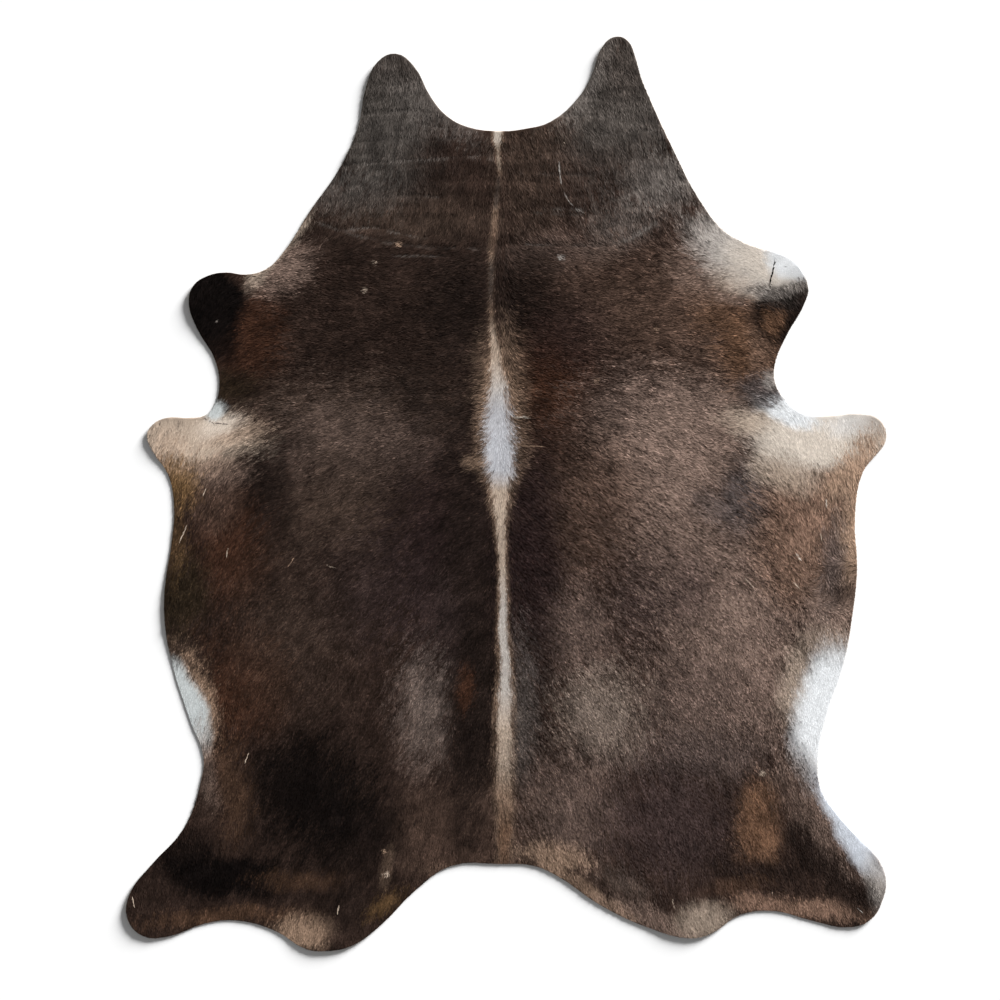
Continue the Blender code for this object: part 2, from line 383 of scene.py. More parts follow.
# %% The patches of the flanks
PATCHES += [
    ("left middle", -39.5, -1.5, 15, 12.5, 0, 1.5, "umber", 0.65),
    ("left flank, dark", -59, 1, 6, 13.5, 0, 1.1, "near black", 0.85),
    ("left flank, plum", -16, -16, 13.5, 23.5, 0, 1.3, "plum black", 0.85),
    ("left flank, lower", -32, -23.5, 11.5, 11.5, 0, 1.5, "plum brown", 0.50),
    ("left belly, red", -68.5, -15, 8.5, 12.5, 0, 1.3, "red brown", 0.75),
    ("left belly, upper", -72, -1.5, 5, 6.5, 0, 1.4, "warm brown", 0.60),
    ("left belly", -79.5, -25, 6, 10.5, 0, 1.0, "olive brown", 0.95),
    ("left thigh top", -65.5, -48, 10.5, 12.5, 0, 1.3, "red brown", 0.85),
    ("left side, low", -54.5, -36, 11.5, 15, 0, 1.5, "umber", 0.40),
    ("right flank, light", 43, 6, 15.5, 15.5, 0, 1.4, "light brown", 0.82),
    ("right flank, inner", 22, -4, 10, 16, 0, 1.4, "warm brown", 0.70),
    ("right flank, shade", 40, -25.5, 11.5, 11, 0, 1.5, "plum brown", 0.85),
    ("right flank, middle", 48, -13.5, 14, 11.5, 0, 1.5, "light brown", 0.55),
    ("right flank, inner low", 17.5, -33, 9, 10.5, 0, 1.4, "grey brown", 0.85),
    ("right flank, low light", 54.5, -33.5, 14, 16, 0, 1.4, "light brown", 0.92),
    ("right flank, low shade", 45.5, -24, 4.5, 7, 0, 1.5, "plum brown", 0.60),
    ("right flank, grey fold", 59, 0, 5.5, 8.5, 0, 1.1, "slate", 0.95),
    ("right flank, second grey", 51.5, -2.5, 4.5, 3.5, 0, 1.2, "slate", 0.55),
    ("right belly", 74, -7.5, 11, 14.5, 0, 1.2, "tan brown", 0.90),
    ("right belly, lower", 74, -21, 6.5, 7, 0, 1.4, "tan brown", 0.60),
    ("right flank, low", 48, -53.5, 18, 14, 0, 1.4, "grey brown", 0.95),
    ("right belly, low", 65.5, -48.5, 6.5, 10, 0, 1.4, "light brown", 0.30),
]

# %% The patches beside the spine and over the rump
PATCHES += [
    ("dark band, left", -9, -26, 8.5, 56.5, 0, 1.0, "near black", 0.85),
    ("left flank, plum low", -16, -32, 5.5, 10, 0, 1.4, "plum brown", 0.45),
    ("dark band, right", 6, -17.5, 7, 25, 0, 1.1, "plum black", 0.78),
    ("dark band, right low", 4.5, -58, 4.5, 12.5, 0, 1.3, "plum brown", 0.20),
    ("grey beside the line", 4, -54.5, 3.5, 17.5, 0, 1.4, "ash", 0.33),
    ("left sheen", -21, -54.5, 5.5, 13, 0, 1.3, "grey brown", 0.80),
    ("left sheen, bright", -20, -52, 4.5, 10.5, 0, 1.5, "ash", 0.25),
    ("left sheen, low", -19.5, -81.5, 7.5, 8.5, 0, 1.4, "warm brown", 0.60),
    ("dark band, left low", -8.5, -60.5, 5, 27, 0, 0.9, "near black", 0.85),
    ("brown round the line, low", 1, -79, 9, 8.5, 0, 1.5, "warm brown", 0.38),
    ("right sheen", 23, -54.5, 9, 9.5, 0, 1.5, "light grey brown", 0.95),
    ("right sheen, low", 16.5, -76.5, 10.5, 11, 0, 1.5, "grey brown", 0.85),
    ("right hip, grey", 48, -65, 15, 5.5, 0, 1.5, "slate", 0.30),
    ("right thigh", 41, -81, 15, 12.5, 0, 1.3, "plum brown", 0.85),
    ("left hip", -49.5, -73, 15.5, 14.5, 0, 1.0, "black", 0.92),
    ("left thigh, inner", -38.5, -84, 13, 12.5, 0, 1.0, "black", 0.75),
    ("reddish place by the spine", -10.5, -47, 2, 5, 0, 1.1, "red brown", 0.70),
    ("spine halo", -1, 23.5, 5.5, 15.5, 0, 1.2, "tan", 0.36),
    ("spine flare", -7.5, 7.5, 3, 2, 12, 1.0, "tan", 0.38),
]

# %% The patches of the lobes, the belly and the legs
PATCHES += [
    ("left shoulder edge, inner", -54.5, 54.5, 7, 4.5, 30, 1.3, "light brown", 0.95),
    ("left shoulder edge", -56, 60, 10, 2.5, 53, 1.2, "beige", 0.85),
    ("left front lobe", -73, 47, 9.5, 9, 0, 0.35, "black", 1.00),
    ("left front lobe, low", -70, 38.5, 5, 7.5, 20, 0.7, "black", 0.90),
    ("left armpit", -67.5, 26, 7, 3.5, 0, 1.0, "olive brown", 0.80),
    ("right shoulder fringe", 49, 54.5, 8.5, 6, -35, 1.3, "light brown", 0.55),
    ("right shoulder edge", 59.5, 57.5, 15, 7.5, -31, 0.9, "silver", 1.00),
    ("right shoulder edge, low", 56, 52, 6.5, 3.5, -30, 1.2, "beige", 0.45),
    ("right shoulder, under the edge", 55.5, 47.5, 4.5, 2, -20, 1.3, "light brown", 0.80),
    ("right shoulder edge, bright", 62, 57, 8.5, 4, -22, 1.2, "cream", 0.75),
    ("right lobe, rust field", 59, 35.5, 7, 9.5, 0, 1.2, "rust", 0.85),
    ("right lobe, inner light", 62, 35, 3, 10, 5, 1.3, "tan brown", 0.60),
    ("right lobe, dark", 68.5, 44.5, 9, 7.5, 14, 0.4, "near black", 0.95),
    ("right lobe, dark foot", 64, 36.5, 5, 4.5, 0, 1.2, "umber", 0.15),
    ("right lobe, rust spot", 65.5, 42.5, 3, 3.5, 0, 1.2, "rust", 0.95),
    ("right lobe, dark rim", 70.5, 40.5, 2.5, 4.5, 0, 1.1, "near black", 0.90),
    ("right lobe, grey border", 69, 51, 6, 1.5, 12, 0.9, "ash", 0.80),
    ("right lobe, grey corner", 60.5, 50.5, 3.5, 1.5, 10, 1.2, "ash", 0.75),
    ("right lobe, white", 70.5, 57.5, 6.5, 4, -14, 0.6, "white", 0.92),
    ("left second lobe", -78, 13.5, 15, 6.5, 4, 1.1, "beige", 1.00),
    ("left lobe, tan foot", -79.5, 7, 9, 3, 0, 1.4, "tan", 0.75),
    ("left lobe, fading in", -67.5, 15.5, 7, 3.5, 8, 1.5, "tan", 0.50),
    # The shining patch is a painted highlight on the cream hair of the lobe.
    ("left lobe, shining", -70, 17, 6, 2.5, 10, 1.2, "cream", 0.65),
    # The notch is white hair painted grey as painted shade of the fold.
    ("left notch", -71.5, 20.5, 3.5, 2, 20, 0.8, "grey white", 0.95),
    ("left lobe, tan tip", -83.5, 12, 5, 3.5, 0, 1.3, "tan", 0.40),
    ("left lobe, brown foot", -72, 5.5, 7, 3.5, 0, 1.4, "light brown", 0.48),
    ("left lobe, golden", -80.5, 3.5, 4.5, 5.5, 10, 1.2, "golden brown", 0.80),
    ("left belly rim", -82, -9, 2.5, 9, 0, 1.3, "golden brown", 0.28),
    ("left belly, tan", -80, -38, 5, 2.5, -20, 1.2, "tan", 0.08),
    ("left belly, fringe", -75.5, -51, 10, 4, -80, 1.3, "tan", 0.88),
    ("left belly, white", -78.5, -51.5, 11.5, 4.5, -69, 0.6, "grey white", 1.00),
    ("right second lobe, lower", 79, 4.5, 11.5, 4, 0, 1.2, "tan", 0.08),
    ("right lobe, pink field", 68, 6.5, 7.5, 5, -18, 1.2, "beige", 0.64),
    ("right lobe, fading in", 67, 14, 8.5, 5.5, -30, 1.4, "cream", 0.62),
    ("right lobe, pink streaks", 60, 17, 7, 2.5, -12, 1.4, "beige", 0.85),
    ("right second lobe", 80, 14.5, 16, 7, -2, 0.7, "cream", 1.00),
    ("right lobe, upper rim", 85, 17, 6.5, 2.5, 0, 1.3, "white", 0.45),
    ("right lobe, lower rim", 84.5, 7, 8.5, 4, 50, 1.3, "tan", 0.95),
    ("right lobe, tan tip", 90.5, 12, 3.5, 6.5, -15, 1.3, "tan", 0.35),
    ("right rim", 84.5, -9, 2.5, 16, -1, 1.3, "tan", 0.80),
    ("right rim, low", 80.5, -30.5, 6.5, 8.5, 0, 1.4, "light brown", 0.80),
    ("right notch", 68.5, 20, 7.5, 3, -18, 0.9, "white", 1.00),
    ("right lobe, grey foot", 62, 24.5, 5, 4, -12, 0.8, "slate", 0.90),
    ("right notch, upper rim", 65.5, 27, 2, 2, 0, 1.3, "silver", 0.50),
    ("whorl, dark", 80.5, -16.5, 2.5, 10.5, -4, 1.3, "slate", 0.70),
    ("whorl, foot", 82.5, -25.5, 2.5, 2, 0, 1.2, "near black", 0.70),
    ("right belly, fringe", 71.5, -47, 4, 8.5, -3, 1.4, "beige", 0.55),
    ("right belly, low edge", 80.5, -36.5, 6.5, 4, 0, 1.3, "beige", 0.35),
    ("right belly, white", 81, -54, 9, 16, -10, 0.7, "white", 1.00),
    ("left thigh, rust", -67.5, -72.5, 4, 12, 5, 1.3, "rust", 0.35),
    ("left thigh, edge", -74, -65.5, 2, 8.5, 8, 1.4, "light brown", 0.50),
    ("left leg", -68.5, -94.5, 17.5, 5, 0, 0.7, "black", 1.00),
    ("left leg, upper", -79, -90.5, 7.5, 4.5, 35, 0.9, "black", 0.80),
    ("left foot", -87.5, -101, 6, 6.5, 0, 1.0, "dark brown", 0.60),
    ("left foot, lower rim", -70, -104, 16.5, 2, 3, 1.2, "rust", 0.55),
    ("left rump, rust", -51, -95, 9, 2, 0, 1.2, "rust", 0.35),
    ("left rump, pale tip", -50.5, -107.5, 6.5, 4, 5, 1.0, "tan", 0.78),
    ("left rump, brown", -38.5, -102, 7, 5.5, 30, 1.1, "near black", 0.60),
    ("left rump, golden edge", -29, -101, 5, 2, 42, 1.3, "golden brown", 0.60),
    ("left tail corner", -29, -92.5, 1.5, 5, -10, 1.2, "tan", 0.25),
    ("left tail side", -16, -90, 12, 2, 8, 1.4, "warm brown", 0.45),
    ("right thigh, rust", 62.5, -80.5, 5.5, 10, 0, 0.9, "rust", 0.90),
    ("right leg", 78, -89.5, 16, 5, -46, 0.9, "near black", 0.88),
    ("right leg, lower", 63, -94, 9.5, 3.5, 0, 1.2, "near black", 0.88),
    ("right leg, mid tone", 79.5, -78.5, 15.5, 5.5, -53, 1.4, "light brown", 0.48),
    ("right leg, pale edge", 84.5, -81.5, 13.5, 3.5, -57, 0.7, "blue white", 0.92),
    ("right foot, tip", 91.5, -95, 2.5, 6.5, 0, 1.3, "silver", 0.60),
    ("right leg, lower rim", 75.5, -102.5, 14, 2.5, -1, 1.2, "tan brown", 0.88),
    ("right rump, lower rim", 60.5, -101, 6, 2, 8, 1.2, "tan brown", 0.60),
    ("right foot", 87, -99.5, 4.5, 3.5, 0, 1.1, "near black", 0.78),
    ("right rump, rust", 57, -97, 6.5, 2, 10, 1.4, "rust", 0.25),
    ("right rump, inner", 28.5, -96, 6, 3, -30, 1.4, "light grey brown", 0.20),
    ("right rump, pale hollow", 48.5, -105.5, 6.5, 4, 8, 1.2, "beige", 0.40),
    ("right rump tip", 34, -104, 11, 2.5, -22, 1.3, "light brown", 0.50),
    ("tail rim, right", 19, -97, 13.5, 1.5, -34, 1.3, "tan", 0.35),
    ("tail rim, right inner", 12.5, -89, 6.5, 3, -14, 1.4, "tan", 0.60),
    ("tail rim", -1.5, -91.5, 15, 1, 0, 1.6, "tan", 0.15),
]
print(len(PATCHES), "soft patches")

# %% The pale line along the spine
# Each row: y, x of the middle and half width in centimetres, the colour, and how fully it covers.
SPINE_LINE = (
    (89.2, -1.75, 0.90, "cream", 0.70),
    (87.4, -1.75, 0.75, "cream", 0.55),
    (85.3, -1.75, 0.45, "beige", 0.45),
    (81.0, -1.75, 0.45, "beige", 0.40),
    (79.3, -1.8, 0.40, "tan", 0.30),
    (78.0, -1.9, 0.45, "ash", 0.08),
    (72.0, -2.7, 0.50, "ash", 0.15),
    (70.3, -2.9, 0.55, "tan", 0.35),
    (64.0, -3.2, 0.50, "tan brown", 0.40),
    (61.0, -3.6, 0.50, "near black", 0.30),
    (59.8, -3.6, 0.50, "tan", 0.35),
    (56.0, -3.6, 0.45, "ash", 0.18),
    (50.0, -3.6, 0.45, "ash", 0.10),
    (45.0, -3.5, 0.50, "tan", 0.15),
    (40.0, -3.1, 0.60, "beige", 0.40),
    (34.0, -2.4, 1.00, "beige", 0.65),
    (27.0, -1.9, 1.80, "silver", 0.85),
    (20.0, -1.8, 2.90, "blue white", 0.60),
    (12.0, -1.7, 3.40, "blue white", 0.66),
    (6.0, -1.5, 3.10, "blue white", 0.56),
    (1.0, -1.2, 2.10, "beige", 0.80),
    (-5.0, -1.3, 1.25, "beige", 0.78),
    (-11.0, -1.25, 0.88, "beige", 0.74),
    (-17.0, -1.1, 0.76, "beige", 0.80),
    (-28.0, -0.6, 0.85, "silver", 0.90),
    (-38.0, -0.45, 1.10, "silver", 0.95),
    (-48.0, -0.3, 1.45, "silver", 0.95),
    (-58.0, -0.4, 1.55, "beige", 0.75),
    (-66.0, -0.3, 1.70, "beige", 0.55),
    (-74.0, -0.6, 1.60, "tan", 0.52),
    (-82.0, -0.2, 1.40, "rust", 0.65),
    (-90.5, -0.2, 1.30, "rust", 0.40),
)
FRINGE_WIDTH, FRINGE_BORDER = 1.7, 1.2
FRINGE_COVER = 0.42
LINE_BORDER = 0.9
LINE_RAGGED = 0.9

# %% Scars, flecks and spots
# Fine lines where the hair itself lies along the mark. Each row: a name, the half width in centimetres, the
# colour, how fully it covers, and places along the mark.
MARKS = (
    ("scar on the neck, upper", 0.15, "silver", 0.70, (13, 82.2), (13.2, 79), (13.5, 77)),
    ("scar on the neck, lower", 0.13, "silver", 0.50, (13.9, 74.8), (15.3, 72.2), (17.2, 70.2), (18.8, 69.4)),
    ("slit in the right lobe", 0.15, "black", 1.00, (66.8, 59.6), (65.9, 56), (65.1, 52.5), (65, 51.5)),
    ("seam at the left notch", 0.12, "slate", 0.80, (-74.5, 19), (-72.2, 17.5), (-69.5, 17.2)),
    ("flick beside the line", 0.25, "cream", 0.60, (1.4, 18.9), (4.7, 18.9)),
    ("second flick", 0.12, "tan", 0.70, (3.4, 11.9), (8.4, 11.7)),
    ("fleck, left belly", 0.12, "beige", 0.80, (-78.4, -7.4), (-80.0, -11.0)),
    ("fleck, left flank", 0.12, "beige", 0.80, (-68.3, -12.8), (-68.7, -14.8)),
    ("fleck, left lobe", 0.14, "beige", 0.80, (-73.5, 2), (-74.2, 0.4)),
    ("fleck, left side", 0.12, "tan", 0.80, (-52, -15.5), (-53.2, -17.2)),
    ("fleck, left middle", 0.14, "beige", 0.70, (-44.6, -17.5), (-43, -17.9)),
    ("fleck, left thigh", 0.14, "beige", 0.80, (-63.2, -63.2), (-64, -65.5)),
    ("fleck, left rump", 0.12, "beige", 0.80, (-41.1, -101), (-41.5, -103.4)),
    ("fleck, left foot", 0.12, "beige", 0.80, (-92, -99), (-91.6, -100.8)),
    ("fleck, right lobe", 0.14, "cream", 0.80, (78.8, -0.8), (78.9, -2.8)),
    ("fleck, right flank", 0.16, "cream", 0.80, (71.2, -14.2), (72.2, -15.8)),
    ("second fleck, right flank", 0.14, "beige", 0.80, (70.6, -21.5), (71.6, -22.6)),
    ("fleck, right belly", 0.12, "beige", 0.80, (77.3, -9), (77.6, -10.8)),
    ("fleck, right side", 0.12, "beige", 0.70, (58.5, -20.5), (60.5, -22.5)),
    ("fleck, right rump", 0.12, "beige", 0.70, (40.9, -99.5), (41.3, -101.2)),
    ("fleck, right leg", 0.12, "beige", 0.70, (65.4, -97.5), (65.6, -99)),
    ("fleck, right foot", 0.14, "silver", 0.80, (86.2, -101.8), (87.2, -102.6)),
)

# Round pale spots, which are healed bites. Each row: a name, x, y and radius in centimetres, and the colour.
SPOTS = (
    ("left shoulder", -26.1, 61.8, 0.70, "tan"),
    ("left withers", -31.8, 56.9, 0.35, "beige"),
    ("left withers, lower", -34.1, 50, 0.42, "beige"),
    ("right of the spine", 13.1, 58.3, 0.60, "silver"),
    ("right shoulder", 36.6, 40.4, 0.42, "tan"),
    ("right blade", 21.9, 27.8, 0.48, "tan"),
    ("right thigh", 63, -68.4, 0.60, "beige"),
    ("neck point", 14.1, 86.8, 0.25, "beige"),
    ("left lobe", -70.8, 42.8, 0.25, "ash"),
    ("left tail corner", -29.3, -93.3, 0.60, "beige"),
    ("left tail corner, upper", -29.8, -87.6, 0.45, "tan"),
)
print(len(MARKS), "fine marks and", len(SPOTS), "spots")

# %% Paint the coat at any points
# How far the patches are pushed out of their tidy ovals: the push, the size of a hill, and a seed.
WARP_SIZES = ((0.012, 0.11, 31), (0.006, 0.035, 33))
LINE_WARP = 0.25
STREAK_CELL = 0.0045
STREAK_STEPS = 3
STREAK_SHARE, STRAY_SHARE = 0.28, 0.18
# Where paleness starts, how far it runs, and how much it evens out the borders.
PALE_FROM, PALE_RANGE = 0.05, 0.35
PALE_EVEN = 0.6
# Broad, middling and fine mottling: how strong it is, the size of a hill, and a seed.
MOTTLE = ((0.14, 0.090, 41), (0.26, 0.032, 42), (0.23, 0.013, 43))
STREAK_DEPTH = 0.28
PALE_PLAIN = 0.8
# Painted sheen: the dark hair of the right half is painted lighter and that of the left half darker, as
# the nap catches the light there; it also works against the low lamp, which lights the left half more.
SIDE_SHEEN, SIDE_WIDTH = 0.22, 0.3
NECK_FOLDS = np.array((0.075, 0.013))
NECK_FOLD_DEPTH = 0.30
NECK_FOLD_FROM, NECK_FOLD_FADE = 0.60, 0.05


def laid_over(colours, tone, share):
    """Lays one colour over the others, as fully as share says."""
    colours += share[:, None] * (tone - colours)


def paleness(colours):
    """How pale each colour is, from 0 for the dark coat to 1 for the white hair."""
    return eased((colours.mean(-1) - PALE_FROM) / PALE_RANGE)


def paint_patches(colours, at, ragged):
    """Lays the patches over the colours, in the order of their table."""
    for _, x, y, half_x, half_y, turn, border, colour, strength in PATCHES:
        c, s = math.cos(math.radians(turn)), math.sin(math.radians(turn))
        dx, dy = at[:, 0] / CM - x, at[:, 1] / CM - y
        reach = np.hypot((dx * c + dy * s) / half_x, (dy * c - dx * s) / half_y)
        own_ragged = ragged * (1 - PALE_EVEN * paleness(COAT[colour]))
        laid_over(colours, COAT[colour], strength * eased((1 - reach) / border + 0.5 + own_ragged))


def paint_spine_line(colours, at, ragged):
    """Lays the pale line over the colours: first its thin fringe of tan hairs, and then its core."""
    x, y = at.T / CM
    levels, middles, halves, _, covers = (np.array(column) for column in zip(*SPINE_LINE[::-1]))
    tones = np.array([COAT[row[3]] for row in SPINE_LINE[::-1]])
    half = np.interp(y, levels, halves)
    gap = np.abs(x - np.interp(y, levels, middles)) / half
    share = np.interp(y, levels, covers)
    fringe = eased((FRINGE_WIDTH - gap) / FRINGE_BORDER + 0.5 + LINE_RAGGED * ragged)
    laid_over(colours, COAT["tan"], FRINGE_COVER * share * fringe)
    core = eased((1 - gap) / LINE_BORDER + 0.5 + LINE_RAGGED * ragged)
    tone = np.stack([np.interp(y, levels, channel) for channel in tones.T], 1)
    laid_over(colours, tone, share * core)


def paint_coat(at, stray=0.0):
    """The colour of the hair that grows at each point. stray lets single hairs cross the borders."""
    ragged = STREAK_SHARE * streaks(at, STREAK_CELL, STREAK_STEPS, seed=35) + STRAY_SHARE * stray
    warped = at.copy()
    for size, cell, seed in WARP_SIZES:
        warped += size * np.stack([cloud(at, cell, seed), cloud(at, cell, seed + 1)], 1)
    colours = np.tile(COAT[GROUND], (len(at), 1))
    paint_patches(colours, warped, ragged)
    paint_spine_line(colours, at + LINE_WARP * (warped - at), ragged)
    # Painted sheen: lighter on the right half, darker on the left.
    side = SIDE_SHEEN * np.clip(at[:, 0] / SIDE_WIDTH, -1, 1)
    colours *= (1 + side * (1 - paleness(colours)))[:, None]
    mottle = sum(depth * cloud(at, cell, seed) for depth, cell, seed in MOTTLE)
    mottle = mottle + STREAK_DEPTH * streaks(at, STREAK_CELL, STREAK_STEPS, seed=45)
    neck = eased((at[:, 1] - NECK_FOLD_FROM) / NECK_FOLD_FADE)
    mottle = mottle + neck * NECK_FOLD_DEPTH * cloud(at / NECK_FOLDS, 1.0, seed=47)
    return colours * np.exp(mottle * (1 - PALE_PLAIN * np.sqrt(paleness(colours))))[:, None]


# %% Paint the skin below the hair
def store_colours(mesh, name, colours):
    """Keeps one colour for each point of the mesh, as an attribute that the materials read."""
    layer = mesh.attributes.new(name, "FLOAT_COLOR", "POINT")
    opaque = np.ones((len(colours), 4), np.float32)
    opaque[:, :3] = colours
    layer.data.foreach_set("color", opaque.ravel())


skin_plan = np.array([vert.co.xy[:] for vert in skin_mesh.vertices])
skin_colours = paint_coat(skin_plan)
store_colours(skin_mesh, "coat", skin_colours)
print("the coat's mean colour is", skin_colours.mean(0).round(3).tolist())

# %% [markdown]
# ## The hair
# Cattle hair is short and lies flat, in small pointed locks that overlap like shingles. Hair curves would
# draw it well, but they can't be handed on as a mesh. So one lock is made with bmesh operators, as a long
# diamond folded across its middle, and then repeated by arithmetic on arrays: each copy is moved to its
# root on the skin, laid along the nap, and given its own length, lift and roll. The locks are joined into a
# few pieces, one for each part of the hide.

# %% One lock of hair
lock_bm = bmesh.new()
bmesh.ops.create_circle(lock_bm, cap_ends=True, radius=1.0, segments=4)
lock_bm.verts.ensure_lookup_table()
across = sorted(lock_bm.verts, key=lambda vert: abs(vert.co.x))[:2]
bmesh.ops.connect_verts(lock_bm, verts=across)
lock_bm.verts.index_update()
LOCK_POINTS = np.array([vert.co[:] for vert in lock_bm.verts])
LOCK_FACES = np.array([[vert.index for vert in face.verts] for face in lock_bm.faces])
lock_bm.free()
print("a lock has", len(LOCK_POINTS), "points and", len(LOCK_FACES), "faces")

# %% Find the roots
# The roots stand in offset rows, each pushed out of line by a share of the spacing.
ROOT_SPACING = 0.00277
ROOT_JITTER = 0.48
RAY_FROM = 0.1

rng = np.random.default_rng(7)


def on_skin(places):
    """The height of the skin under each place, or nan where there is no skin."""
    heights = np.full(len(places), np.nan)
    down = Vector((0, 0, -1))
    for i, (x, y) in enumerate(places.tolist()):
        hit = skin_top.ray_cast(Vector((x, y, RAY_FROM)), down)[0]
        if hit is not None:
            heights[i] = hit.z
    return heights


columns = np.arange(cad_low.x, cad_high.x, ROOT_SPACING)
rows = np.arange(cad_low.y, cad_high.y, ROOT_SPACING * math.sqrt(3) / 2)
grid_x, grid_y = np.meshgrid(columns, rows)
grid_x[1::2] += ROOT_SPACING / 2
roots = np.stack([grid_x.ravel(), grid_y.ravel()], 1)
roots += rng.uniform(-ROOT_JITTER, ROOT_JITTER, roots.shape) * ROOT_SPACING
heights = on_skin(roots)
grown = ~np.isnan(heights)
roots, heights = roots[grown], heights[grown]
print(len(roots), "locks grow on the hide")

# %% Lay each lock along the nap
LOCK_LENGTH, LENGTHS = 0.0135, (0.75, 1.2)
LOCK_WIDTH, WIDTHS = 0.0021, (0.75, 1.25)
LOCK_LIFT, LIFTS = 0.0014, (0.45, 1.15)
RUMP_SHORTER, RUMP_REACH = 0.32, 0.3
STRAY_TURN, STRAY_ROLL = 0.22, 0.22
# Neighbours lift and turn together, in tufts.
TUFT_CELL = 0.009
TUFT_LIFT, TUFT_TURN = 0.2, 0.6
# A lock has the colour of the place under this share of its length.
COLOUR_AT = 0.3
DARK_SPREAD, PALE_SPREAD = 0.26, 0.04
# How strongly the locks differ from their neighbours, at places down the hide.
GRAIN_ROWS = ((-0.80, 0.5), (-0.58, 1.2), (0.50, 1.2), (0.70, 0.7))
PALE_SMOOTH = 0.65
PALE_WIDER = 0.4


def turned(directions, angles):
    c, s = np.cos(angles), np.sin(angles)
    x, y = directions.T
    return np.stack([x * c - y * s, x * s + y * c], 1)


count = len(roots)
tuft = cloud(roots, TUFT_CELL, seed=51)
length = LOCK_LENGTH * rng.uniform(*LENGTHS, count)
length *= 1 - RUMP_SHORTER * eased(-roots[:, 1] / RUMP_REACH)
width = LOCK_WIDTH * rng.uniform(*WIDTHS, count)
lie = nap(roots)
colours = paint_coat(roots + COLOUR_AT * LOCK_LENGTH * lie, rng.normal(0, 1, count))
pale = paleness(colours)
calm = 1 - PALE_SMOOTH * pale
width *= 1 + PALE_WIDER * pale
lift = LOCK_LIFT * (rng.uniform(*LIFTS, count) + TUFT_LIFT * tuft) * calm
roll = rng.normal(0, STRAY_ROLL, count) * calm
lie = turned(lie, STRAY_TURN * (rng.normal(0, 1, count) + TUFT_TURN * tuft) * calm)
levels, grains = np.array(GRAIN_ROWS).T
spread = (DARK_SPREAD + (PALE_SPREAD - DARK_SPREAD) * pale) * np.interp(roots[:, 1], levels, grains)
colours *= np.exp(spread * rng.normal(0, 1, count) - spread ** 2 / 2)[:, None]
print("the locks are", *(np.array([length.min(), length.max()]) * 1000).round(1), "millimetres long")

# %% Comb the hair along the scars, and paint the marks, the crests of the wrinkles and the spots
MARK_HIGHER, MARK_NARROWER = 1.25, 0.8
CREST_REACH, CREST_COVER = 1.3, (0.2, 1.0)
CREST_CELL, CREST_BROKEN = 0.025, 0.9
SPOT_REACH, SPOT_RAGGED = 1.6, 0.3
SPOT_SHORTER, SPOT_COVER = 0.5, 0.85

for _, half_width, colour, strength, *line in MARKS:
    gap, heading = along_line(roots, line)
    on_line = gap < half_width * CM
    lie[on_line] = heading[on_line]
    lift[on_line] *= MARK_HIGHER
    width[on_line] *= MARK_NARROWER
    laid_over(colours, COAT[colour], strength * on_line)
broken = eased(0.5 + CREST_BROKEN * cloud(roots, CREST_CELL, seed=55))
for _, half_width, crest, *line in WRINKLES:
    gap, _ = along_line(roots, line)
    share = eased(CREST_REACH - gap / (half_width * CM)) * broken
    laid_over(colours, COAT["ash"], crest * share * rng.uniform(*CREST_COVER, count))
for _, x, y, radius, colour in SPOTS:
    reach = np.hypot(*(roots / CM - (x, y)).T) / radius
    in_spot = eased(SPOT_REACH - reach + SPOT_RAGGED * rng.normal(0, 1, count))
    length *= 1 - SPOT_SHORTER * in_spot
    laid_over(colours, COAT[colour], SPOT_COVER * in_spot)
print("the hair lies along", len(MARKS), "marks")

# %% Shorten the locks that would hang over the cut edge
OVERHANG = 0.0012
TRIMS = 7
TRIM_SHARE = 0.75

over = np.arange(count)
for _ in range(TRIMS):
    tips = roots[over] + lie[over] * (length[over] - OVERHANG)[:, None]
    over = over[np.isnan(on_skin(tips))]
    length[over] *= TRIM_SHARE
    lift[over] *= TRIM_SHARE
print(len(over), "locks are trimmed as short as they go")

# %% Join the locks into pieces, one for each part of the hide
BAKE_MAP = "OFBake"
NECK_FROM, RUMP_BELOW = 0.20, -0.42
# The fold across the middle of a lock: its share of the length, and its share of the lift.
MIDDLE_AT, MIDDLE_LIFT = 0.38, 0.75
ROOT_SUNK = 0.0003


